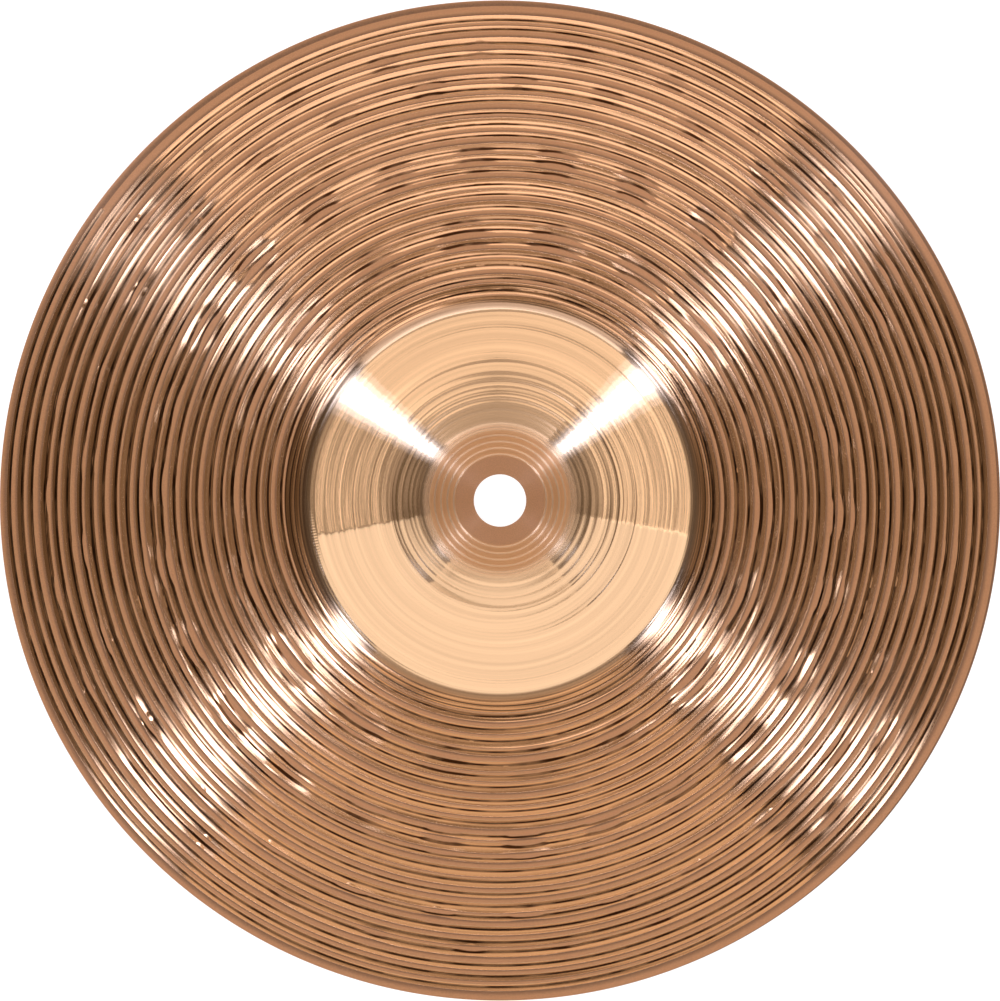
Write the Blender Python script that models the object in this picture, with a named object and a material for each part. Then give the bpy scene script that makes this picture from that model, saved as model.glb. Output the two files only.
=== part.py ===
"""Small crash cymbal, 254 mm across: one turned and hammered sheet of bell bronze.

The sheet's outline is drawn in the XZ plane, on the +X side, and turned about +Z. It is a flat seat
round the centre hole, a domed bell, a hollow foot where the bell meets the bow, the long shallow
bow and a rounded edge. Every curved stretch is an arc given by its slope at each end, so from the
bell outwards the stretches meet without a corner. Metres, +Z up, bell upwards: the origin is on the
axis of the hole, level with the lowest line of the edge.
"""

import math

import bmesh
import bpy

# Plan sizes
DIAMETER = 0.254
HOLE_DIAMETER = 0.0131
SEAT_RADIUS = 0.0112  # outer radius of the flat ring that the stand's felts press on
BELL_RADIUS = 0.0500  # where the foot of the bell has turned into the bow

# Slopes of the upper face below the horizontal
SHOULDER_SLOPE = math.radians(8.0)  # where the bell starts, round the flat seat
BELL_SLOPE = math.radians(34.0)  # steepest, low on the bell
BOW_SLOPE = math.radians(3.0)  # where the bow leaves the bell
EDGE_SLOPE = math.radians(9.0)  # where the bow reaches the edge
FOOT_ARC = 0.008  # radius of the hollow curve at the foot of the bell

# The sheet
BELL_THICKNESS = 0.00095
EDGE_THICKNESS = 0.00065

# Fineness of the turned mesh
TURN_STEPS = 96
BELL_STEPS = 9
FOOT_STEPS = 4
BOW_STEPS = 8
LIP_DIRECTIONS = [math.radians(d) for d in (45, 0, -45, -90)]

BRONZE_COLOUR = (0.56, 0.30, 0.15, 1.0)
BRONZE_ROUGHNESS = 0.36


def clear_scene():
    for obj in list(bpy.data.objects):
        bpy.data.objects.remove(obj, do_unlink=True)


def arc(points, radius, start_slope, end_slope, steps):
    """Carry the upper face on along an arc that starts and ends at the given slopes.

    points holds (r, z, slope). A positive radius curves downwards, as the bell and the bow do, and
    a negative one hollows, as the foot of the bell does.
    """
    r0, z0, _ = points[-1]
    for i in range(1, steps + 1):
        slope = start_slope + (end_slope - start_slope) * i / steps
        r = r0 + radius * (math.sin(slope) - math.sin(start_slope))
        z = z0 - radius * (math.cos(start_slope) - math.cos(slope))
        points.append((r, z, slope))


def thickness(r):
    """Full thickness out to the foot of the bell, then an even taper to the edge."""
    share = (r - BELL_RADIUS) / (DIAMETER / 2 - BELL_RADIUS)
    return BELL_THICKNESS + (EDGE_THICKNESS - BELL_THICKNESS) * min(max(share, 0.0), 1.0)


def upper_face():
    """(r, z, slope) from the hole to the edge, with the seat at z = 0 for now."""
    foot_width = FOOT_ARC * (math.sin(BELL_SLOPE) - math.sin(BOW_SLOPE))
    bell_width = BELL_RADIUS - SEAT_RADIUS - foot_width
    bell_arc = bell_width / (math.sin(BELL_SLOPE) - math.sin(SHOULDER_SLOPE))
    bow_end = DIAMETER / 2 - EDGE_THICKNESS / 2 * (1 - math.sin(EDGE_SLOPE))
    bow_arc = (bow_end - BELL_RADIUS) / (math.sin(EDGE_SLOPE) - math.sin(BOW_SLOPE))
    points = [(HOLE_DIAMETER / 2, 0.0, 0.0), (SEAT_RADIUS, 0.0, 0.0)]
    arc(points, bell_arc, SHOULDER_SLOPE, BELL_SLOPE, BELL_STEPS)
    arc(points, -FOOT_ARC, BELL_SLOPE, BOW_SLOPE, FOOT_STEPS)
    arc(points, bow_arc, BOW_SLOPE, EDGE_SLOPE, BOW_STEPS)
    return points


def outline():
    """The closed outline: out along the top, round the lip, back underneath. Its lowest point is at 0."""
    top = upper_face()
    under = []
    for r, z, slope in reversed(top):
        depth = thickness(r)
        under.append((r - depth * math.sin(slope), z - depth * math.cos(slope)))
    end_r, end_z, end_slope = top[-1]
    half = EDGE_THICKNESS / 2
    lip_r = end_r - half * math.sin(end_slope)
    lip_z = end_z - half * math.cos(end_slope)
    lip = [(lip_r + half * math.cos(d), lip_z + half * math.sin(d)) for d in LIP_DIRECTIONS]
    points = [(r, z) for r, z, _ in top] + lip + under
    lowest = min(z for _, z in points)
    return [(r, z - lowest) for r, z in points]


def bronze():
    material = bpy.data.materials.new("bronze")
    material.use_nodes = True
    shader = material.node_tree.nodes["Principled BSDF"]
    shader.inputs["Base Color"].default_value = BRONZE_COLOUR
    shader.inputs["Metallic"].default_value = 1.0
    shader.inputs["Roughness"].default_value = BRONZE_ROUGHNESS
    return material


def cymbal():
    """The outline turned through a full circle, with smooth faces and sharp lips."""
    mesh = bpy.data.meshes.new("cymbal")
    bm = bmesh.new()
    ring = [bm.verts.new((r, 0.0, z)) for r, z in outline()]
    for start, end in zip(ring, ring[1:] + ring[:1]):
        bm.edges.new((start, end))
    bmesh.ops.spin(
        bm,
        geom=bm.verts[:] + bm.edges[:],
        axis=(0.0, 0.0, 1.0),
        cent=(0.0, 0.0, 0.0),
        angle=math.tau,
        steps=TURN_STEPS,
        use_merge=True,
    )
    bmesh.ops.recalc_face_normals(bm, faces=bm.faces[:])
    bm.to_mesh(mesh)
    bm.free()
    mesh.shade_smooth()
    mesh.set_sharp_from_angle(angle=math.radians(50))
    mesh.materials.append(bronze())
    obj = bpy.data.objects.new("cymbal", mesh)
    bpy.context.collection.objects.link(obj)


clear_scene()
cymbal()
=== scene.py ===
"""Small crash cymbal: the finished surface, its bronze and the studio round it.

The cymbal is one sheet of bell bronze. It is hammered in rings, then turned on a lathe: the tool
cuts one long spiral groove into the bow and leaves ridges of raw, matte metal between its turns.
The bell is turned with fine lines, and the ring round the hole and the edge stay raw.

Lengths are metres. "Around" is a share of a full turn, counted counter-clockwise seen from above,
from the azimuth at which the spiral groove starts at the edge.
"""

import math

import bpy
import numpy as np
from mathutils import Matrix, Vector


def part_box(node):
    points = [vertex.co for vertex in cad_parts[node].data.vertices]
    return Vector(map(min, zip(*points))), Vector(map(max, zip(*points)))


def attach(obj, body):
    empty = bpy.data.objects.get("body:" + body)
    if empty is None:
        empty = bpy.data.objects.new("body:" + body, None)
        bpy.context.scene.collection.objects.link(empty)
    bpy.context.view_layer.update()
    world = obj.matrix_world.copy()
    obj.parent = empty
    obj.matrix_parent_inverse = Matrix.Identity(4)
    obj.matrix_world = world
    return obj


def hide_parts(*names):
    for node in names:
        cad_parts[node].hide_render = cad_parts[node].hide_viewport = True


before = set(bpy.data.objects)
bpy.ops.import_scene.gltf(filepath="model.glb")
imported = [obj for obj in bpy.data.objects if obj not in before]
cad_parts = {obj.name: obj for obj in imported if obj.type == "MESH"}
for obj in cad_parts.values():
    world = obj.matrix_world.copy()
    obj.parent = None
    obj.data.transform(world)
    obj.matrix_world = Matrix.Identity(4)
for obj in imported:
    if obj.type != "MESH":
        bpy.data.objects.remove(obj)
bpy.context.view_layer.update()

LOWEST, HIGHEST = (np.array(corner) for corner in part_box("cymbal"))
CENTRE = (LOWEST + HIGHEST) / 2

# Plan of the sheet
RIM_RADIUS = float(HIGHEST[0] - LOWEST[0]) / 2
HOLE_RADIUS = 0.00655
SEAT_RADIUS = 0.0112
DULL_RADIUS = 0.0195  # the dull top of the bell ends here
BELL_RADIUS = 0.0500

# Slopes of the upper face below the horizontal, and the sheet's thickness
SHOULDER_SLOPE = math.radians(8.0)
BELL_SLOPE = math.radians(34.0)
BOW_SLOPE = math.radians(3.0)
EDGE_SLOPE = math.radians(9.0)
FOOT_ARC = 0.008
BELL_THICKNESS = 0.00095
EDGE_THICKNESS = 0.00065

# The spiral groove. Its turns are counted from the edge inwards.
PITCH = 0.0030
SPIRAL_RADIUS = 0.1257
SPIRAL_AZIMUTH = math.radians(143.75)
SPIRAL_TURNS = 23
TOOL_RADIUS = 0.0110  # the round nose of the lathe tool
FOOT_PLACE = 0.58  # the floor is deepest here, as a share of the groove's width
STEP_WIDTH = 0.00010  # a narrow step rises from the floor's foot
BACK_SLOPE = math.tan(math.radians(1.5))  # and an even slope from the step to the next ridge
RIDGE_PLACE = 0.70  # middle of a ridge, as a share of the pitch
RIDGE_HALF = 0.160  # half of the first ridges' usual width, as a share of the pitch
RIDGE_THINNING = 0.0030  # each further turn makes that half-width less by this
RIDGE_SWELL = 0.080  # how far that half-width swells and shrinks along the spiral
SWELL_TURNS = 2.857  # turns from one swelling to the next
SWELL_FIRST = 2.1  # the turn of the first one
RIDGE_WANDER = 0.09  # how far a ridge's middle wanders to both sides, as a share of the pitch
WANDER_TURNS = 2.35
FIRST_RIDGE_EXTRA = 0.16  # the raw band at the edge stands in for the ridge before the first
RUN_IN = 8.0  # one over the share of a turn in which the tool goes in
RUN_OUT = 4.0  # and comes out

# Rings of hammer marks: radius, count, half-length along the ring, half-width across it, depth, and
# lean, which is how far the ring is turned, in marks
HAMMER_RINGS = [
    (0.1150, 29, 0.0048, 0.0030, 0.000050, 0.628),
    (0.1059, 29, 0.0052, 0.0033, 0.000055, 0.032),
    (0.0870, 26, 0.0062, 0.0050, 0.000075, 0.084),
    (0.0670, 18, 0.0080, 0.0048, 0.000065, 0.80),
]
MARK_STRAY = 0.0004  # how far single marks stray from their ring
STRAY_STEP = 2.4  # radians that the sine of the straying goes on from one mark to the next
DEPTH_STEP = 5.1  # the same for the sine of the marks' depths
DEPTH_USUAL = 0.75  # usual share of a ring's depth
DEPTH_SWING = 0.25  # and how far single marks go above and below it
UNCUT_DENT = 0.34  # share of a mark's depth that the lathe's tool can't reach
PIPS_BEYOND = 0.1  # only the rings of marks outside this radius have pips
PIP_OFF = 0.00145  # a pair of raised pips lies this far to both sides of a mark's middle
PIP_HALF = (0.0013, 0.0006)  # half-sizes of a pip, along the ring and across it

# Fineness of the mesh
AROUND_STEPS = 360
FLOOR_ROWS = 5  # strips across a groove's floor; its step and its back slope are one strip each
ROWS_PER_TURN = FLOOR_ROWS + 3
HOLE_BEVEL = 0.0001  # of the two edges of the hole
SEAT_BEVEL = 0.0002  # half the width of the turn from the seat into the bell
FOOT_START = 0.0452  # the bell's foot, with closer rings, runs from here
BELL_END = 0.0515  # and to here, where the grooved bow takes over
RIM_RINGS = [0.12640, 0.12665]
LIP_DIRECTIONS = np.radians([45.0, 15.0, -15.0, -45.0, -90.0])
SMOOTH_ANGLE = math.radians(6.5)  # the sides of the groove's step stay sharp


# ---------------------------------------------------------------- shape of the sheet

def arc_fall(r, start_radius, arc, start_slope):
    """How far an arc has dropped at r: arc * (cos(start slope) - cos(slope)), where the sine of the
    slope grows evenly with r. A negative arc hollows instead of curving down."""
    slope = np.arcsin(np.sin(start_slope) + (r - start_radius) / arc)
    return arc * (np.cos(start_slope) - np.cos(slope)), slope


def upper_face(r):
    """(height, slope) of the smooth upper face: a flat seat, then the bell's arc, the hollow foot
    and the bow's long arc one after another, each dropping on from where the last one ended."""
    foot_start = BELL_RADIUS - FOOT_ARC * (math.sin(BELL_SLOPE) - math.sin(BOW_SLOPE))
    bow_end = RIM_RADIUS - EDGE_THICKNESS / 2 * (1 - math.sin(EDGE_SLOPE))
    bell_arc = (foot_start - SEAT_RADIUS) / (math.sin(BELL_SLOPE) - math.sin(SHOULDER_SLOPE))
    bow_arc = (bow_end - BELL_RADIUS) / (math.sin(EDGE_SLOPE) - math.sin(BOW_SLOPE))
    stretches = [
        (SEAT_RADIUS, foot_start, bell_arc, SHOULDER_SLOPE),
        (foot_start, BELL_RADIUS, -FOOT_ARC, BELL_SLOPE),
        (BELL_RADIUS, bow_end, bow_arc, BOW_SLOPE),
    ]
    height = np.full(np.shape(r), float(HIGHEST[2]))
    slope = np.zeros(np.shape(r))
    for start, end, arc, start_slope in stretches:
        fall, here = arc_fall(np.clip(r, start, end), start, arc, start_slope)
        height = height - fall
        slope = np.where(np.asarray(r) > start, here, slope)
    return height, slope


def thickness(r):
    """Full thickness out to the foot of the bell, then an even taper to the edge."""
    return np.interp(r, [BELL_RADIUS, RIM_RADIUS], [BELL_THICKNESS, EDGE_THICKNESS])


def ridge_half(turn):
    """Half-width of the ridge in pitches: it shrinks evenly inwards, and swells as a cosine along
    the spiral, about every third turn. Before the first ridge it widens into the raw band at the
    edge."""
    swell = RIDGE_SWELL * np.cos(math.tau * (turn - SWELL_FIRST) / SWELL_TURNS)
    band = FIRST_RIDGE_EXTRA * np.clip(0.5 - turn, 0.0, 1.0)
    return RIDGE_HALF - RIDGE_THINNING * turn + swell + band


def ridge_middle(turn):
    """Where the ridge's middle lies within its turn, in pitches: it wanders as a sine."""
    return RIDGE_PLACE + RIDGE_WANDER * np.sin(math.tau * turn / WANDER_TURNS)


def run_out(turn):
    """Share of the full depth at a turn: it grows over the spiral's first eighth of a turn and
    shrinks over its last quarter."""
    run_in = np.clip((turn + 1) * RUN_IN, 0.0, 1.0)
    return run_in * np.clip((SPIRAL_TURNS - turn) * RUN_OUT, 0.0, 1.0)


def groove_depth(e, width):
    """Depth at a distance e in from a groove's outer side. The floor sinks inwards like a circle's
    arc, e * (2 * foot - e) over twice the tool's radius. A straight step rises from its foot, and
    an even slope goes on to the next ridge."""
    foot = FOOT_PLACE * width
    floor = e * (2 * foot - e) / (2 * TOOL_RADIUS)
    return np.where(e <= foot, floor, BACK_SLOPE * (width - e))


def dent_depth(r, around):
    """Depth of the hammer marks. Each ring is cut into equal cells round the circle, with one mark
    in each: a shallow bowl, one minus the squared distances across and along, over its two
    half-sizes. Marks stray a little to both sides of their ring, by a sine of the cell's number."""
    depth = np.zeros(np.broadcast(r, around).shape)
    for radius, count, half_length, half_width, deepest, lean in HAMMER_RINGS:
        place = np.mod(around, 1.0) * count + lean
        cell = np.floor(place)
        along = (place - cell - 0.5) * math.tau * radius / count
        across = r - radius - MARK_STRAY * np.sin(cell * STRAY_STEP)
        bowl = 1 - (across / half_width) ** 2 - (along / half_length) ** 2
        share = DEPTH_USUAL + DEPTH_SWING * np.sin(cell * DEPTH_STEP)
        depth = depth + deepest * share * np.maximum(bowl, 0.0)
    return depth


def ring_rows(radii):
    """(radius, around, cut) for plain rings, one row for each radius."""
    around = np.arange(AROUND_STEPS) / AROUND_STEPS
    r = np.repeat(np.asarray(radii)[:, None], AROUND_STEPS, axis=1)
    return r, np.broadcast_to(around, r.shape), np.zeros(r.shape)


def spiral_rows():
    """(radius, around, cut) for the grooved bow, from the edge inwards.

    Rows follow the spiral, eight to a turn: six from the outer side of a groove to the foot of its
    floor, the top of the step, and the edge of the next ridge. A point's radius is the spiral's
    start, less one pitch for every turn.
    """
    around = np.arange(AROUND_STEPS) / AROUND_STEPS
    first = np.repeat(np.arange(-1, SPIRAL_TURNS), ROWS_PER_TURN)[:, None]
    row = np.tile(np.arange(ROWS_PER_TURN), SPIRAL_TURNS + 1)[:, None]
    turn = first + around
    outer = first + ridge_middle(turn) + ridge_half(turn)
    inner = first + 1 + ridge_middle(turn + 1) - ridge_half(turn + 1)
    width = PITCH * (inner - outer)
    foot = FOOT_PLACE * width
    e = np.where(row <= FLOOR_ROWS, foot * row / FLOOR_ROWS, foot + STEP_WIDTH)
    e = np.where(row == ROWS_PER_TURN - 1, width, e)
    r = SPIRAL_RADIUS - PITCH * (outer + around) - e
    return r, np.broadcast_to(around, r.shape), groove_depth(e, width) * run_out(turn)


def upper_points(r, around, cut):
    """Places on the upper face: lowered by the hammer marks, and by the lathe's cut or the part of
    a mark that the tool can't reach, whichever is deeper."""
    dent = dent_depth(r, around)
    height, _ = upper_face(r)
    return r, around, height - dent - np.maximum(UNCUT_DENT * dent, cut)


def lip_points():
    """Half circles round the edge, each point the lip's middle line plus its radius in a direction."""
    end = RIM_RADIUS - EDGE_THICKNESS / 2
    r, around, _ = ring_rows(end + EDGE_THICKNESS / 2 * np.cos(LIP_DIRECTIONS))
    height = LOWEST[2] + EDGE_THICKNESS / 2 * (1 + np.sin(LIP_DIRECTIONS))
    return r, around, np.broadcast_to(height[:, None], r.shape)


def hole_points():
    """The wall of the hole: two rings, each the bevel's depth from a face of the seat."""
    r, around, _ = ring_rows([HOLE_RADIUS, HOLE_RADIUS])
    depths = np.array([BELL_THICKNESS - HOLE_BEVEL, HOLE_BEVEL])[:, None]
    return r, around, HIGHEST[2] - np.broadcast_to(depths, r.shape)


def under_points(radii):
    """Places on the underside: the upper face moved inwards along its normal by the thickness."""
    r, around, _ = ring_rows(radii)
    height, slope = upper_face(r)
    depth = thickness(r)
    return r - depth * np.sin(slope), around, height - depth * np.cos(slope)


def strip_faces(inner, outer):
    """Quads between two closed rows of corners, turned so that they face up when inner is the row
    nearer the axis."""
    return np.stack([inner, outer, np.roll(outer, -1), np.roll(inner, -1)], axis=1)


def spiral_faces(rows, before, after):
    """Faces of the spiral block and the two seams that close it onto plain rings.

    rows holds corner numbers, edge first. Past the last column a row runs on as the row one turn
    further in, so the last quads join column -1 to column 0 of that row. The two ends of the
    spiral each leave one many-sided gap, filled by a face. before is the ring outside the block and
    after the one inside it.
    """
    n = ROWS_PER_TURN
    body = [rows[1:, :-1], rows[:-1, :-1], rows[:-1, 1:], rows[1:, 1:]]
    seam = [rows[1:-n, -1], rows[:-n - 1, -1], rows[n:-1, 0], rows[n + 1:, 0]]
    quads = [np.stack([c.ravel() for c in body], axis=1), np.stack(seam, axis=1)]
    quads.append(np.stack([rows[0, :-1], before[:-1], before[1:], rows[0, 1:]], axis=1))
    quads.append(np.stack([after[:-1], rows[-1, :-1], rows[-1, 1:], after[1:]], axis=1))
    outer_gap = [rows[0, -1], before[-1], before[0], *rows[: n + 1, 0]]
    inner_gap = [after[-1], *rows[: -n - 2: -1, -1], rows[-1, 0], after[0]]
    return np.concatenate(quads), [outer_gap, inner_gap]


def build_sheet():
    """The whole sheet as one closed surface: rings from the hole out over the bell, the spiral bow,
    rings round the edge, and rings back along the underside to the hole."""
    bell_radii = np.concatenate([
        [HOLE_RADIUS + HOLE_BEVEL, SEAT_RADIUS - SEAT_BEVEL, SEAT_RADIUS + SEAT_BEVEL],
        np.linspace(SEAT_RADIUS + 0.0012, 0.0440, 20),
        np.linspace(FOOT_START, BELL_END, 9),
    ])
    under_radii = np.concatenate([
        [0.12660], np.linspace(0.1240, 0.0560, 12), np.linspace(BELL_RADIUS, FOOT_START, 5),
        np.linspace(0.0420, SEAT_RADIUS + 0.001, 9), [SEAT_RADIUS, HOLE_RADIUS + HOLE_BEVEL],
    ])
    bell = upper_points(*ring_rows(bell_radii))
    spiral = upper_points(*spiral_rows())
    rim = upper_points(*ring_rows(RIM_RINGS))
    lip = lip_points()
    blocks = [bell, spiral, rim, lip, under_points(under_radii), hole_points()]

    rows = np.arange(sum(len(b[0]) for b in blocks) * AROUND_STEPS).reshape(-1, AROUND_STEPS)
    first = len(bell_radii)
    last = first + len(spiral[0])
    quads, gaps = spiral_faces(rows[first:last], before=rows[last], after=rows[first - 1])
    plain = [strip_faces(rows[i], rows[i + 1]) for i in range(first - 1)]
    plain += [strip_faces(rows[i], rows[i + 1]) for i in range(last, len(rows) - 1)]
    plain.append(strip_faces(rows[-1], rows[0]))
    faces = np.concatenate([quads, *plain]).tolist() + [[int(c) for c in gap] for gap in gaps]
    under_start = len(quads) + (first + len(rim[0]) + len(lip[0]) - 2) * AROUND_STEPS
    under = slice(under_start, under_start + len(under_radii) * AROUND_STEPS)
    is_under = np.zeros(len(faces), dtype=np.int32)
    is_under[under] = 1

    r, around, z = (np.concatenate([b[k] for b in blocks]).ravel() for k in range(3))
    azimuth = SPIRAL_AZIMUTH + math.tau * around
    points = np.stack([CENTRE[0] + r * np.cos(azimuth), CENTRE[1] + r * np.sin(azimuth), z], axis=1)
    mesh = bpy.data.meshes.new("hammered_sheet")
    mesh.from_pydata(points.tolist(), [], faces)
    mesh.polygons.foreach_set("material_index", is_under)
    mesh.validate()
    mesh.shade_smooth()
    mesh.set_sharp_from_angle(angle=SMOOTH_ANGLE)
    return mesh


# ---------------------------------------------------------------- shader helpers

class Nodes:
    """Short names for adding shader nodes to one tree."""

    def __init__(self, tree):
        self.tree = tree

    def add(self, kind, **settings):
        node = self.tree.nodes.new(kind)
        for name, value in settings.items():
            setattr(node, name, value)
        return node

    def put(self, socket, value):
        """Link an output, or set a plain value."""
        if isinstance(value, bpy.types.NodeSocket):
            self.tree.links.new(value, socket)
        else:
            socket.default_value = value

    def math(self, operation, *values, clamp=False):
        node = self.add("ShaderNodeMath", operation=operation, use_clamp=clamp)
        for socket, value in zip(node.inputs, values):
            self.put(socket, value)
        return node.outputs[0]

    def ramp(self, value, low, high, to_low=0.0, to_high=1.0):
        """A smooth step from to_low at low to to_high at high."""
        node = self.add("ShaderNodeMapRange", interpolation_type="SMOOTHSTEP")
        for socket, given in zip(node.inputs[:5], (value, low, high, to_low, to_high)):
            self.put(socket, given)
        return node.outputs["Result"]

    def mix(self, share, first, second):
        """A colour between first and second."""
        node = self.add("ShaderNodeMix", data_type="RGBA")
        for number, given in ((0, share), (6, first), (7, second)):
            self.put(node.inputs[number], given)
        return node.outputs[2]

    def blend(self, share, first, second):
        """A number between first and second."""
        node = self.add("ShaderNodeMix", data_type="FLOAT")
        for number, given in ((0, share), (2, first), (3, second)):
            self.put(node.inputs[number], given)
        return node.outputs[0]

    def group(self, tree, **values):
        node = self.add("ShaderNodeGroup", node_tree=tree)
        for name, value in values.items():
            self.put(node.inputs[name], value)
        return node


def new_group(name, inputs, outputs):
    """An empty shader node group with float sockets. Vector sockets are named with a leading *."""
    tree = bpy.data.node_groups.new(name, "ShaderNodeTree")
    for names, side in ((inputs, "INPUT"), (outputs, "OUTPUT")):
        for socket in names:
            kind = "NodeSocketVector" if socket.startswith("*") else "NodeSocketFloat"
            tree.interface.new_socket(socket.lstrip("*"), in_out=side, socket_type=kind)
    n = Nodes(tree)
    return n, n.add("NodeGroupInput").outputs, n.add("NodeGroupOutput").inputs


def make_turned_place():
    """Group: radius from the axis, around (0 to 1 from the spiral's start), and the place as a
    vector that is even round the circle, for patterns that run along the lathe's lines."""
    n, _, out = new_group("turned_place", [], ["Radius", "Around", "*Along"])
    place = n.add("ShaderNodeTexCoord").outputs["Object"]
    split = n.add("ShaderNodeSeparateXYZ")
    n.put(split.inputs[0], place)
    x = n.math("SUBTRACT", split.outputs["X"], float(CENTRE[0]))
    y = n.math("SUBTRACT", split.outputs["Y"], float(CENTRE[1]))
    radius = n.math("SQRT", n.math("ADD", n.math("MULTIPLY", x, x), n.math("MULTIPLY", y, y)))
    azimuth = n.math("ARCTAN2", y, x)
    turn = n.math("DIVIDE", n.math("SUBTRACT", azimuth, SPIRAL_AZIMUTH), math.tau)
    along = n.add("ShaderNodeCombineXYZ")
    n.put(along.inputs["X"], n.math("DIVIDE", x, radius))
    n.put(along.inputs["Y"], n.math("DIVIDE", y, radius))
    n.put(out["Radius"], radius)
    n.put(out["Around"], n.math("FRACT", turn))
    n.put(out["Along"], along.outputs[0])
    return n.tree


def make_hammer_ring():
    """Group: depth of one ring of hammer marks, by the same formula as dent_depth, and a mask for
    the two small pips in each mark."""
    n, given, out = new_group(
        "hammer_ring",
        ["Radius", "Around", "Ring", "Count", "Half length", "Half width", "Depth", "Lean"],
        ["Depth", "Pips"],
    )
    place = n.math("ADD", n.math("MULTIPLY", given["Around"], given["Count"]), given["Lean"])
    cell = n.math("FLOOR", place)
    share = n.math("SUBTRACT", n.math("SUBTRACT", place, cell), 0.5)
    cell_length = n.math("DIVIDE", n.math("MULTIPLY", given["Ring"], math.tau), given["Count"])
    length = n.math("MULTIPLY", share, cell_length)
    along = n.math("DIVIDE", length, given["Half length"])
    stray = n.math("MULTIPLY", n.math("SINE", n.math("MULTIPLY", cell, STRAY_STEP)), MARK_STRAY)
    off = n.math("SUBTRACT", n.math("SUBTRACT", given["Radius"], given["Ring"]), stray)
    across = n.math("DIVIDE", off, given["Half width"])
    far = n.math("ADD", n.math("MULTIPLY", along, along), n.math("MULTIPLY", across, across))
    bowl = n.math("MAXIMUM", n.math("SUBTRACT", 1.0, far), 0.0)
    swing = n.math("SINE", n.math("MULTIPLY", cell, DEPTH_STEP))
    weight = n.math("MULTIPLY_ADD", swing, DEPTH_SWING, DEPTH_USUAL)
    n.put(out["Depth"], n.math("MULTIPLY", n.math("MULTIPLY", bowl, weight), given["Depth"]))
    pip_along = n.math("DIVIDE", length, PIP_HALF[0])
    pip_off = n.math("SUBTRACT", n.math("ABSOLUTE", off), PIP_OFF)
    pip_across = n.math("DIVIDE", pip_off, PIP_HALF[1])
    far = n.math("MULTIPLY_ADD", pip_along, pip_along, n.math("MULTIPLY", pip_across, pip_across))
    n.put(out["Pips"], n.math("SUBTRACT", 1.0, far, clamp=True))
    return n.tree


def make_spiral_ridge():
    """Group: middle and half-width of the ridge at a turn, in pitches, by the same formulas as
    ridge_middle and ridge_half."""
    n, given, out = new_group("spiral_ridge", ["Turn"], ["Middle", "Half"])
    wander = n.math("SINE", n.math("MULTIPLY", given["Turn"], math.tau / WANDER_TURNS))
    phase = n.math("MULTIPLY", n.math("SUBTRACT", given["Turn"], SWELL_FIRST), math.tau / SWELL_TURNS)
    usual = n.math("MULTIPLY_ADD", given["Turn"], -RIDGE_THINNING, RIDGE_HALF)
    half = n.math("MULTIPLY_ADD", n.math("COSINE", phase), RIDGE_SWELL, usual)
    band = n.math("SUBTRACT", 0.5, given["Turn"], clamp=True)
    n.put(out["Middle"], n.math("MULTIPLY_ADD", wander, RIDGE_WANDER, RIDGE_PLACE))
    n.put(out["Half"], n.math("MULTIPLY_ADD", band, FIRST_RIDGE_EXTRA, half))
    return n.tree


PLAIN_CUT = 0.0001  # depth that stands for the plain turned metal inside the spiral


def make_spiral_cut(ridge):
    """Group: full depth of the lathe's cut into the bow, by the same formula as groove_depth. There
    is none on a ridge. From step is the distance from the step at the foot of the groove's floor,
    and Across ridge runs from -1 to 1 over a ridge, going inwards. Inside the last ridge all the
    metal counts as cut."""
    n, given, out = new_group("spiral_cut", ["Radius", "Around"], ["Cut", "From step", "Across ridge"])
    inwards = n.math("DIVIDE", n.math("SUBTRACT", SPIRAL_RADIUS, given["Radius"]), PITCH)
    t = n.math("SUBTRACT", inwards, given["Around"])

    def off_ridge(number):
        """How far inwards of a ridge's middle this place is, and that ridge's half-width."""
        found = n.group(ridge, Turn=n.math("ADD", number, given["Around"])).outputs
        return n.math("SUBTRACT", n.math("SUBTRACT", t, number), found["Middle"]), found["Half"]

    near = n.math("ROUND", n.math("SUBTRACT", t, RIDGE_PLACE))
    off, half = off_ridge(near)
    n.put(out["Across ridge"], n.math("DIVIDE", off, half))
    groove = n.math("SUBTRACT", near, n.math("LESS_THAN", off, 0.0))
    groove = n.math("MINIMUM", n.math("MAXIMUM", groove, -1.0), float(SPIRAL_TURNS - 1))
    off, half = off_ridge(groove)
    e = n.math("MULTIPLY", n.math("SUBTRACT", off, half), PITCH)
    off, half = off_ridge(n.math("ADD", groove, 1.0))
    rest = n.math("MULTIPLY", n.math("ADD", off, half), -PITCH)
    past_last = n.math("GREATER_THAN", off, half)

    foot = n.math("MULTIPLY", n.math("ADD", e, rest), FOOT_PLACE)
    from_foot = n.math("SUBTRACT", e, foot)
    left = n.math("SUBTRACT", n.math("MULTIPLY", foot, 2.0), e)
    floor = n.math("MULTIPLY", n.math("MULTIPLY", e, left), 1 / (2 * TOOL_RADIUS))
    back = n.math("MULTIPLY", rest, BACK_SLOPE)
    depth = n.blend(n.math("GREATER_THAN", from_foot, 0.0), floor, back)
    depth = n.math("MAXIMUM", depth, 0.0)
    n.put(out["Cut"], n.math("MAXIMUM", depth, n.math("MULTIPLY", past_last, PLAIN_CUT)))
    n.put(out["From step"], n.math("ABSOLUTE", n.math("SUBTRACT", from_foot, STEP_WIDTH / 2)))
    return n.tree


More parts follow.
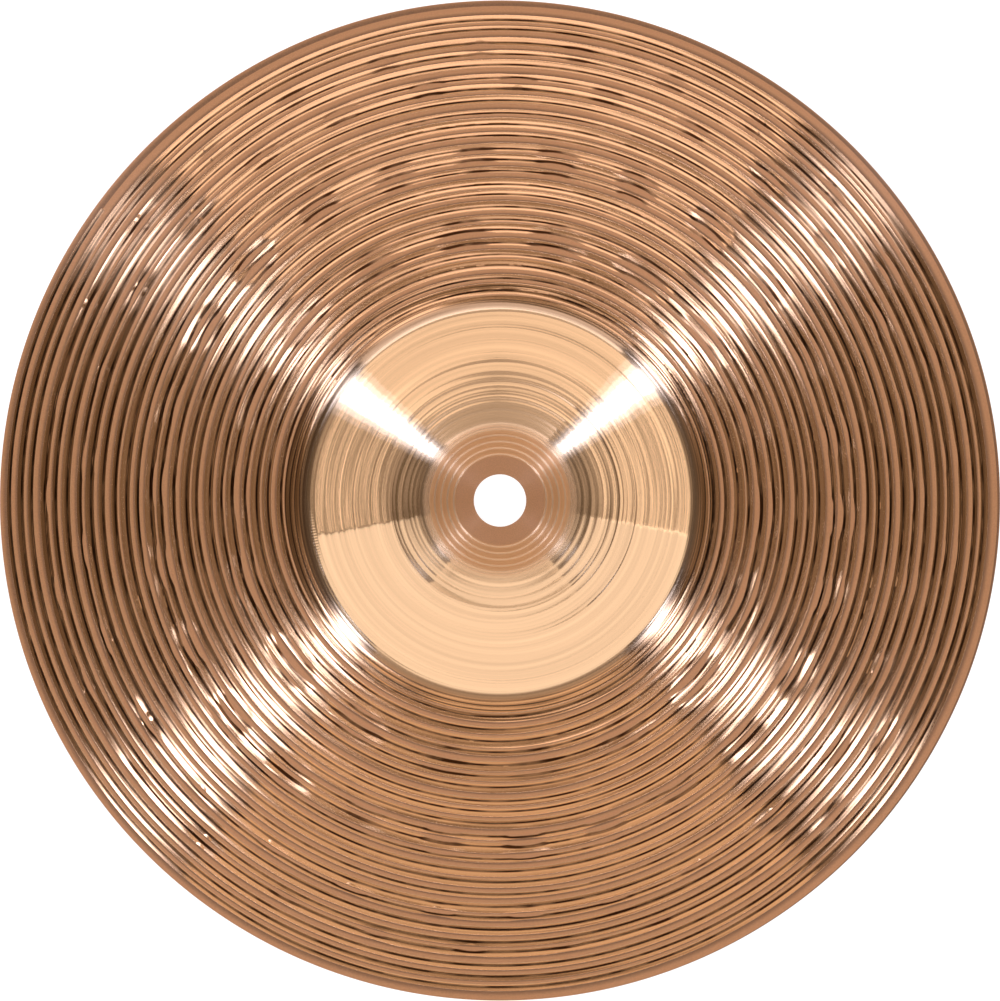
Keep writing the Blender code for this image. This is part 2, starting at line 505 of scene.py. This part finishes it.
def make_turned_lines():
    """Group: how the tool's fine lines tilt the surface, outwards (Tilt) and round the circle
    (Sway), from about -1 to 1. Noise that changes within one Pitch of radius, but only about six
    times Round times in a full circle."""
    n, given, out = new_group("turned_lines", ["Radius", "*Along", "Pitch", "Round"], ["Tilt", "Sway"])
    upwards = n.add("ShaderNodeCombineXYZ")
    n.put(upwards.inputs["Z"], n.math("DIVIDE", given["Radius"], given["Pitch"]))
    place = n.add("ShaderNodeVectorMath", operation="MULTIPLY_ADD")
    n.put(place.inputs[0], given["Along"])
    flat = n.add("ShaderNodeCombineXYZ")
    n.put(flat.inputs["X"], given["Round"])
    n.put(flat.inputs["Y"], given["Round"])
    n.put(place.inputs[1], flat.outputs[0])
    n.put(place.inputs[2], upwards.outputs[0])
    noise = n.add("ShaderNodeTexNoise")
    n.put(noise.inputs["Vector"], place.outputs[0])
    n.put(noise.inputs["Scale"], 1.0)
    n.put(noise.inputs["Detail"], 1.0)
    # The noise stays mostly between a quarter and three quarters, which become -1 and 1.
    parts = n.add("ShaderNodeSeparateXYZ")
    n.put(parts.inputs[0], noise.outputs["Color"])
    for name, part in (("Tilt", "X"), ("Sway", "Y")):
        n.put(out[name], n.math("MULTIPLY_ADD", parts.outputs[part], 4.0, -2.0))
    return n.tree


def make_tilted_normal():
    """Group: the surface's normal, leant outwards by Slope and round the circle by Sideways."""
    n, given, out = new_group("tilted_normal", ["*Along", "Slope", "Sideways"], ["*Normal"])
    outwards = n.add("ShaderNodeVectorMath", operation="SCALE")
    n.put(outwards.inputs[0], given["Along"])
    n.put(outwards.inputs["Scale"], given["Slope"])
    turned = n.add("ShaderNodeVectorMath", operation="CROSS_PRODUCT")
    n.put(turned.inputs[0], (0.0, 0.0, 1.0))
    n.put(turned.inputs[1], given["Along"])
    around = n.add("ShaderNodeVectorMath", operation="SCALE")
    n.put(around.inputs[0], turned.outputs[0])
    n.put(around.inputs["Scale"], given["Sideways"])
    total = n.add("ShaderNodeVectorMath", operation="ADD")
    n.put(total.inputs[0], outwards.outputs[0])
    n.put(total.inputs[1], around.outputs[0])
    leant = n.add("ShaderNodeVectorMath", operation="ADD")
    n.put(leant.inputs[0], n.add("ShaderNodeNewGeometry").outputs["Normal"])
    n.put(leant.inputs[1], total.outputs[0])
    unit = n.add("ShaderNodeVectorMath", operation="NORMALIZE")
    n.put(unit.inputs[0], leant.outputs[0])
    n.put(out["Normal"], unit.outputs[0])
    return n.tree


def make_raw_grain():
    """Group: the fine sandy grain of unturned metal, and a cloud 25 times as coarse, both from 0
    to 1."""
    n, given, out = new_group("raw_grain", ["Size"], ["Grain", "Cloud"])
    place = n.add("ShaderNodeTexCoord").outputs["Object"]
    fine = n.add("ShaderNodeTexNoise")
    n.put(fine.inputs["Vector"], place)
    n.put(fine.inputs["Scale"], n.math("DIVIDE", 1.0, given["Size"]))
    n.put(fine.inputs["Detail"], 3.0)
    cloud = n.add("ShaderNodeTexNoise")
    n.put(cloud.inputs["Vector"], place)
    n.put(cloud.inputs["Scale"], n.math("DIVIDE", 1 / 25, given["Size"]))
    n.put(out["Grain"], fine.outputs["Fac"])
    n.put(out["Cloud"], cloud.outputs["Fac"])
    return n.tree


GROUPS = {
    "place": make_turned_place(),
    "ring": make_hammer_ring(),
    "cut": make_spiral_cut(make_spiral_ridge()),
    "lines": make_turned_lines(),
    "grain": make_raw_grain(),
    "normal": make_tilted_normal(),
}


# ---------------------------------------------------------------- bronze

RAW_BRONZE = (0.408, 0.184, 0.077, 1.0)
BOW_BRONZE = (0.800, 0.415, 0.200, 1.0)
BELL_BRONZE = (0.900, 0.580, 0.350, 1.0)
DULL_BRONZE = (0.545, 0.250, 0.096, 1.0)
# painted shade: the dark brown painted into the groove's steps, the scores round the bell's foot and
# the line in its hollow
PAINTED_SHADE_BROWN = (0.056, 0.018, 0.005, 1.0)

# Zones. A pair of radii is where one finish fades into the next.
BOW_FADE = (0.0485, 0.0515)  # bell to bow
SEAT_FADE = (SEAT_RADIUS - 0.0003, SEAT_RADIUS + 0.0003)  # raw seat to turned bell
DULL_FADE = (DULL_RADIUS - 0.0030, DULL_RADIUS + 0.0010)  # dull top of the bell to its bright part
DULL_BAND_PITCH = 0.0016  # the dull top is turned in bands
DULL_BAND_LOW = 0.55  # share of the dullness left between them
RAW_CUT = (0.000001, 0.000010)  # metal cut less deep than this is still raw
CORNER_FADE = (0.00013, 0.00040)  # how far the painted shade line reaches to both sides of a groove's step
CORNER_DENT = -6.0  # a mark widens that line on each side by six times its own depth

# Shades, as shares of the metal's colour
FINE_SHADE = 0.11  # swing of the fine lines on the turned metal
FOOT_SHADE = 0.22  # added near the bell's foot
RAW_SHADE = 0.76
SEAT_PALER = 0.05
GRAIN_SHADE = 0.60
RIDGE_SHADE = (0.25, -0.45)  # painted light added at a ridge's outer side and painted shade at its inner side

# Lines round the bell's foot: painted shade in the scores and in the hollow, and the tool's chatter
FOOT_FADE = (0.0530, 0.0590)  # the deep scores end here
SCORE_PITCH = 0.0012
# painted shade in the scores
SCORE_DARKNESS = 0.75
FOOT_LINE = 0.0497  # radius of one line of painted shadow in the hollow of the foot
FOOT_LINE_FADE = (0.0004, 0.0013)
FOOT_LINE_DARKNESS = 0.50
CHATTER_RADIUS = 0.0478  # the tool chattered here, on a short stretch round the foot
CHATTER_FADE = (0.0003, 0.0009)
CHATTER_AROUND = 0.135
CHATTER_SPREAD = (0.02, 0.04)
CHATTER_TICKS = 420
CHATTER_TILT = 0.06

# The tool's fine lines: how far they lean the surface
BELL_TILT = (0.05, 0.18)  # on the bell's top, and further out
BELL_TILT_FADE = (0.0205, 0.0300)
BOW_TILT = 0.06
FOOT_TILT = 0.08  # added near the bell's foot
BELL_SWAY = 0.005
BOW_SWAY = 0.006

# Gloss
BELL_ROUGHNESS = 0.11
BOW_ROUGHNESS = 0.10
DULL_ROUGHNESS = 0.32
RAW_ROUGHNESS = 0.46
UNDER_ROUGHNESS = 0.22
RAW_MATTE = 0.72  # share of a matte finish in place of bare metal
DULL_MATTE = 0.58

# Heights in millimetres
PIP_HEIGHT = 0.016
SAND_HEIGHT = 0.020


def principled(name):
    """A new material's Nodes and its Principled BSDF, with the brushed look of lathe work."""
    material = bpy.data.materials.new(name)
    material.use_nodes = True
    n = Nodes(material.node_tree)
    shader = material.node_tree.nodes["Principled BSDF"]
    n.put(shader.inputs["Anisotropic"], 1.0)
    n.put(shader.inputs["Anisotropic Rotation"], 0.25)
    tangent = n.add("ShaderNodeTangent", direction_type="RADIAL", axis="Z")
    n.put(shader.inputs["Tangent"], tangent.outputs[0])
    return material, n, shader


def scaled(n, colour, share):
    """A colour times a number."""
    node = n.add("ShaderNodeVectorMath", operation="SCALE")
    n.put(node.inputs[0], colour)
    n.put(node.inputs["Scale"], share)
    return node.outputs[0]


def bumped(n, normal, height):
    """The normal, changed by a height in millimetres."""
    bump = n.add("ShaderNodeBump")
    n.put(bump.inputs["Distance"], 0.001)
    n.put(bump.inputs["Height"], height)
    n.put(bump.inputs["Normal"], normal)
    return bump.outputs["Normal"]


def hammer_marks(n, radius, around):
    """Depth of all the marks, and a mask for the pips of the outer rings."""
    dents = 0.0
    pips = 0.0
    for ring, count, half_length, half_width, deepest, lean in HAMMER_RINGS:
        values = {"Radius": radius, "Around": around, "Ring": ring, "Count": count,
                  "Half length": half_length, "Half width": half_width, "Depth": deepest, "Lean": lean}
        marks = n.group(GROUPS["ring"], **values).outputs
        dents = n.math("ADD", marks["Depth"], dents)
        if ring > PIPS_BEYOND:
            pips = n.math("MAXIMUM", marks["Pips"], pips)
    return dents, pips


def painted_shade_lines(n, radius, from_step, cloud, on_bow, near_foot, smooth):
    """Mask of painted shade: along a groove's step, broken up by the cloud, in the scores round
    the bell's foot, and a painted shadow in one line in its hollow."""
    corner = n.ramp(from_step, *CORNER_FADE, 1.0, 0.0)
    corner = n.math("MULTIPLY", corner, n.ramp(cloud, 0.35, 0.60, 0.65, 1.0))
    corner = n.math("MULTIPLY", corner, on_bow)
    scores = n.math("SINE", n.math("MULTIPLY", radius, math.tau / SCORE_PITCH))
    scores = n.math("MULTIPLY", n.ramp(scores, 0.3, 0.95, 0.0, SCORE_DARKNESS), near_foot)
    corner = n.math("MAXIMUM", corner, n.math("MULTIPLY", scores, smooth))
    off = n.math("ABSOLUTE", n.math("SUBTRACT", radius, FOOT_LINE))
    line = n.ramp(off, *FOOT_LINE_FADE, FOOT_LINE_DARKNESS, 0.0)
    return n.math("MAXIMUM", corner, n.math("MULTIPLY", line, smooth))


def chatter(n, radius, around):
    """How far the surface leans round the circle, to and fro, in a row of short ticks."""
    off = n.math("ABSOLUTE", n.math("SUBTRACT", radius, CHATTER_RADIUS))
    off_around = n.math("ABSOLUTE", n.math("SUBTRACT", around, CHATTER_AROUND))
    ticks = n.math("SINE", n.math("MULTIPLY", around, math.tau * CHATTER_TICKS))
    here = n.math("MULTIPLY", n.ramp(off, *CHATTER_FADE, 1.0, 0.0), ticks)
    return n.math("MULTIPLY", here, n.ramp(off_around, *CHATTER_SPREAD, CHATTER_TILT, 0.0))


def upper_bronze():
    """The upper face: bright turned bell and bow, the bell's dull top, and raw metal on the ridges,
    at the edge and on the seat."""
    material, n, shader = principled("turned_bronze")
    place = n.group(GROUPS["place"])
    radius, around, along = (place.outputs[k] for k in ("Radius", "Around", "Along"))
    cut = n.group(GROUPS["cut"], Radius=radius, Around=around).outputs
    dents, pips = hammer_marks(n, radius, around)

    # Where the sheet is raw: on the ridges, at the rims of deep marks, and round the hole
    gap = n.math("MULTIPLY_ADD", dents, -UNCUT_DENT, cut["Cut"])
    on_bow = n.ramp(radius, *BOW_FADE)
    ridge = n.math("MULTIPLY", n.ramp(gap, *RAW_CUT, 1.0, 0.0), on_bow)
    seat = n.ramp(radius, *SEAT_FADE, 1.0, 0.0)
    raw = n.math("MAXIMUM", ridge, seat)
    smooth = n.math("SUBTRACT", 1.0, raw)
    near_foot = n.math("MULTIPLY", n.ramp(radius, *FOOT_FADE, 1.0, 0.0), on_bow)
    bands = n.math("SINE", n.math("MULTIPLY", radius, math.tau / DULL_BAND_PITCH))
    bands = n.ramp(bands, 0.3, 0.9, 1.0, DULL_BAND_LOW)
    dull = n.math("MULTIPLY", n.ramp(radius, *DULL_FADE, 1.0, 0.0), bands)

    # Lines and grain
    kinds = {"Radius": radius, "Along": along}
    bell_lines = n.group(GROUPS["lines"], Pitch=0.00080, Round=0.35, **kinds).outputs
    bow_lines = n.group(GROUPS["lines"], Pitch=0.00090, Round=1.5, **kinds).outputs
    grain = n.group(GROUPS["grain"], Size=0.00032).outputs

    # Colour: turned metal with painted shade in its lines, and raw metal painted lighter outwards and
    # darker inwards on a ridge
    turned = n.mix(on_bow, BELL_BRONZE, BOW_BRONZE)
    turned = n.mix(dull, turned, DULL_BRONZE)
    from_step = n.math("MULTIPLY_ADD", dents, CORNER_DENT, cut["From step"])
    # painted shade along the groove's steps and round the bell's foot
    dark = painted_shade_lines(n, radius, from_step, grain["Cloud"], on_bow, near_foot, smooth)
    fine_shade = n.math("MULTIPLY_ADD", near_foot, FOOT_SHADE, FINE_SHADE)
    fine = n.math("MULTIPLY", bell_lines["Sway"], fine_shade)
    turned = scaled(n, n.mix(dark, turned, PAINTED_SHADE_BROWN), n.math("ADD", 1.0, fine))
    raw_shade = n.math("MULTIPLY_ADD", seat, SEAT_PALER, RAW_SHADE)
    raw_shade = n.math("MULTIPLY_ADD", grain["Grain"], GRAIN_SHADE, raw_shade)
    # painted light on a raw ridge's outer side and painted shade on its inner side
    painted_ridge_shading = n.math("MULTIPLY", n.ramp(cut["Across ridge"], -0.3, 1.0, *RIDGE_SHADE), ridge)
    raw_colour = scaled(n, RAW_BRONZE[:3], n.math("ADD", raw_shade, painted_ridge_shading))
    n.put(shader.inputs["Base Color"], n.mix(raw, turned, raw_colour))

    # Gloss
    turned_rough = n.blend(on_bow, BELL_ROUGHNESS, BOW_ROUGHNESS)
    turned_rough = n.blend(dull, turned_rough, DULL_ROUGHNESS)
    n.put(shader.inputs["Roughness"], n.blend(raw, turned_rough, RAW_ROUGHNESS))
    dull_matte = n.math("MULTIPLY", dull, DULL_MATTE)
    matte = n.math("MAXIMUM", n.math("MULTIPLY", raw, RAW_MATTE), dull_matte)
    n.put(shader.inputs["Metallic"], n.math("SUBTRACT", 1.0, matte))

    # Relief: the tool's lines lean the turned metal, and the pips and the grain stand up
    bow_lean = n.math("MULTIPLY_ADD", near_foot, FOOT_TILT, BOW_TILT)
    bow_tilt = n.math("MULTIPLY", bow_lines["Tilt"], bow_lean)
    bell_lean = n.ramp(radius, *BELL_TILT_FADE, *BELL_TILT)
    bell_tilt = n.math("MULTIPLY", bell_lines["Tilt"], bell_lean)
    bow_sway = n.math("MULTIPLY", bow_lines["Sway"], BOW_SWAY)
    bell_sway = n.math("MULTIPLY", bell_lines["Sway"], BELL_SWAY)
    slope = n.math("MULTIPLY", n.blend(on_bow, bell_tilt, bow_tilt), smooth)
    sideways = n.math("MULTIPLY", n.blend(on_bow, bell_sway, bow_sway), smooth)
    sideways = n.math("ADD", sideways, chatter(n, radius, around))
    normal = n.group(GROUPS["normal"], Along=along, Slope=slope, Sideways=sideways).outputs[0]
    height = n.math("MULTIPLY", pips, PIP_HEIGHT)
    sand = n.math("MULTIPLY", grain["Grain"], n.math("MULTIPLY", raw, SAND_HEIGHT))
    n.put(shader.inputs["Normal"], bumped(n, normal, n.math("ADD", height, sand)))
    return material


def under_bronze():
    """The underside: evenly turned, and duller than the bow."""
    material, n, shader = principled("turned_underside")
    place = n.group(GROUPS["place"]).outputs
    kinds = {"Radius": place["Radius"], "Along": place["Along"]}
    lines = n.group(GROUPS["lines"], Pitch=0.0012, Round=1.0, **kinds).outputs
    shade = n.math("MULTIPLY_ADD", lines["Sway"], 0.08, 0.92)
    n.put(shader.inputs["Base Color"], scaled(n, BOW_BRONZE[:3], shade))
    n.put(shader.inputs["Roughness"], UNDER_ROUGHNESS)
    n.put(shader.inputs["Metallic"], 1.0)
    slope = n.math("MULTIPLY", lines["Tilt"], BOW_TILT)
    sideways = n.math("MULTIPLY", lines["Sway"], BOW_SWAY)
    normal = n.group(GROUPS["normal"], Along=place["Along"], Slope=slope, Sideways=sideways)
    n.put(shader.inputs["Normal"], normal.outputs[0])
    return material


# ---------------------------------------------------------------- stage

WHITE_LIGHT = (1.0, 1.0, 1.0)
WARM_LIGHT = (1.0, 0.94, 0.88)
COOL_LIGHT = (0.52, 0.66, 1.0)
PALE_LIGHT = (0.82, 0.86, 1.0)
ROOM_COLOUR = (0.120, 0.096, 0.070, 1.0)
FLOOR_COLOUR = (0.20, 0.20, 0.20, 1.0)
FLOOR_GLOW = 0.98
FRAME_WIDTH = 1000
FRAME_HEIGHT = 1001
CAMERA_DISTANCE = 1.6
SOFT_LAYERS = [(17.0, 0.10), (12.5, 0.25), (8.0, 0.65)]  # spread of a strip's panels, and share
LAYER_GAP = 0.01
NEAR = 0.30  # distances of the lights from the axis
MIDDLE = 0.60
FAR = 0.90

# Azimuths of the four bright arms, in degrees
UPPER_RIGHT = 39.8
UPPER_LEFT = 144.0
LOWER_LEFT = 220.5
LOWER_RIGHT = 322.5

# Tall strips, one over another: name, azimuth, low and high end, radiance, distance
STRIPS = [
    ("strip_upper_right", UPPER_RIGHT, 0.12, 1.06, 4.2, MIDDLE),
    ("strip_upper_left", UPPER_LEFT, 0.12, 1.06, 4.2, MIDDLE),
    ("strip_middle_right", UPPER_RIGHT, 1.06, 2.3, 1.9, MIDDLE),
    ("strip_middle_left", UPPER_LEFT, 1.06, 2.3, 1.0, MIDDLE),
    ("strip_tall_right", UPPER_RIGHT, 2.3, 5.0, 5.0, MIDDLE),
    ("strip_tall_left", UPPER_LEFT, 2.3, 5.0, 3.4, MIDDLE),
    ("strip_high_right", UPPER_RIGHT, 1.3, 9.0, 12.0, NEAR),
    ("strip_high_left", UPPER_LEFT, 1.3, 9.0, 9.5, NEAR),
    ("strip_lower_left", LOWER_LEFT, 2.4, 9.0, 10.5, FAR),
    ("strip_lower_right", LOWER_RIGHT, 2.4, 9.0, 8.5, FAR),
    ("strip_top_left", LOWER_LEFT, 1.3, 9.0, 10.0, NEAR),
    ("strip_top_right", LOWER_RIGHT, 1.3, 9.0, 7.0, NEAR),
]

# Wide panels between the arms: name, azimuth, spread, low and high end, radiance, distance, colour
PANELS = [
    ("card_front", 270.0, 68.0, 0.12, 1.65, 0.97, FAR, WHITE_LIGHT),
    ("card_front_left", 213.5, 45.0, 0.12, 1.45, 0.97, FAR, WHITE_LIGHT),
    ("card_front_right", 327.0, 46.0, 0.12, 1.45, 0.97, FAR, WHITE_LIGHT),
    ("overhead_front", 270.0, 80.0, 2.8, 9.0, 0.32, NEAR, WARM_LIGHT),
    ("high_front", 270.0, 80.0, 0.60, 2.8, 0.74, NEAR, WARM_LIGHT),
    ("card_back_right", 66.0, 52.0, 0.15, 1.0, 0.92, FAR, WARM_LIGHT),
    ("card_back_left", 118.0, 52.0, 0.15, 1.0, 0.92, FAR, WARM_LIGHT),
    ("card_back_middle", 92.0, 90.0, 1.0, 2.2, 0.38, FAR, WARM_LIGHT),
    ("card_back_high", 93.0, 84.0, 2.2, 6.4, 1.7, FAR, PALE_LIGHT),
    ("overhead_back", 93.0, 84.0, 2.2, 9.0, 0.30, NEAR, WARM_LIGHT),
    ("band_right", 14.75, 50.5, 0.10, 0.31, 1.25, FAR, WARM_LIGHT),
    ("band_right", 14.75, 50.5, 0.42, 0.58, 1.25, FAR, WARM_LIGHT),
    ("band_right", 14.75, 50.5, 0.72, 1.03, 1.1, FAR, WARM_LIGHT),
    ("band_right", 14.75, 50.5, 1.05, 1.5, 0.3, FAR, WARM_LIGHT),
    ("overhead_right", 4.0, 50.0, 0.9, 9.0, 0.15, NEAR, WARM_LIGHT),
    ("band_left", 167.5, 46.0, 0.10, 0.26, 1.4, FAR, WARM_LIGHT),
    ("band_left", 167.5, 46.0, 0.40, 0.49, 1.4, FAR, WARM_LIGHT),
    ("band_left", 167.5, 46.0, 0.65, 0.77, 1.4, FAR, WARM_LIGHT),
    ("band_left", 167.5, 46.0, 0.98, 1.3, 0.4, FAR, WARM_LIGHT),
    ("overhead_left", 182.0, 60.0, 1.2, 9.0, 0.18, NEAR, WARM_LIGHT),
]


def panel(name, azimuth, spread, low, high, radiance, distance, colour):
    """An upright soft panel that faces the axis: it covers a spread of azimuths, in degrees, from
    one height to another."""
    data = bpy.data.lights.new(name, "AREA")
    data.shape = "RECTANGLE"
    data.size = 2 * distance * math.tan(math.radians(spread / 2))
    data.size_y = high - low
    data.energy = radiance * data.size * data.size_y * math.pi  # watts for an even radiance
    data.color = colour
    light = bpy.data.objects.new(name, data)
    angle = math.radians(azimuth)
    light.location = (distance * math.cos(angle), distance * math.sin(angle), (low + high) / 2)
    light.rotation_euler = (math.radians(90), 0, angle + math.radians(90))
    light.visible_camera = False
    bpy.context.collection.objects.link(light)


def soft_strip(name, azimuth, low, high, radiance, distance):
    """A tall cool strip whose brightness falls off to its sides: narrower panels in front of wider
    ones, each with its share of the radiance."""
    for number, (spread, share) in enumerate(SOFT_LAYERS):
        near = distance - LAYER_GAP * number
        panel(name, azimuth, spread, low, high, radiance * share, near, COOL_LIGHT)


def light_studio():
    """Every strip and panel of the two lists above."""
    for strip in STRIPS:
        soft_strip(*strip)
    for card in PANELS:
        panel(*card)


def build_floor():
    """A plain pale floor, level with the edge of the cymbal, that glows almost white by itself."""
    size = 20.0
    corners = [(-size, -size), (size, -size), (size, size), (-size, size)]
    mesh = bpy.data.meshes.new("floor")
    mesh.from_pydata([(x, y, float(LOWEST[2])) for x, y in corners], [], [(0, 1, 2, 3)])
    floor = bpy.data.objects.new("floor", mesh)
    bpy.context.collection.objects.link(floor)
    material = bpy.data.materials.new("pale_floor")
    material.use_nodes = True
    shader = material.node_tree.nodes["Principled BSDF"]
    shader.inputs["Base Color"].default_value = FLOOR_COLOUR
    shader.inputs["Roughness"].default_value = 0.9
    shader.inputs["Specular IOR Level"].default_value = 0.0
    shader.inputs["Emission Color"].default_value = (1.0, 1.0, 1.0, 1.0)
    shader.inputs["Emission Strength"].default_value = FLOOR_GLOW
    mesh.materials.append(material)


def build_world():
    """White where the camera looks past the floor, and a dim warm room in reflections."""
    world = bpy.data.worlds.new("studio")
    world.use_nodes = True
    n = Nodes(world.node_tree)
    background = world.node_tree.nodes["Background"]
    seen = n.add("ShaderNodeLightPath").outputs["Is Camera Ray"]
    n.put(background.inputs["Color"], n.mix(seen, ROOM_COLOUR, (1.0, 1.0, 1.0, 1.0)))
    bpy.context.scene.world = world


def place_camera():
    """Straight above the axis, with +Y upwards and the rim filling the frame's width. The frame is
    a little taller than wide, so the sensor's 36 mm lie along its height."""
    data = bpy.data.cameras.new("camera")
    data.sensor_width = 36.0
    covered = 2 * RIM_RADIUS * FRAME_HEIGHT / FRAME_WIDTH
    data.lens = data.sensor_width * CAMERA_DISTANCE / covered
    camera = bpy.data.objects.new("camera", data)
    camera.location = (CENTRE[0], CENTRE[1], LOWEST[2] + CAMERA_DISTANCE)
    bpy.context.collection.objects.link(camera)
    bpy.context.scene.camera = camera


place_camera()
build_world()
light_studio()
build_floor()
bpy.context.scene.view_settings.view_transform = "Standard"

sheet = bpy.data.objects.new("bronze_sheet", build_sheet())
bpy.context.collection.objects.link(sheet)
sheet.data.materials.append(upper_bronze())
sheet.data.materials.append(under_bronze())
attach(sheet, "root")
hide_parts("cymbal")
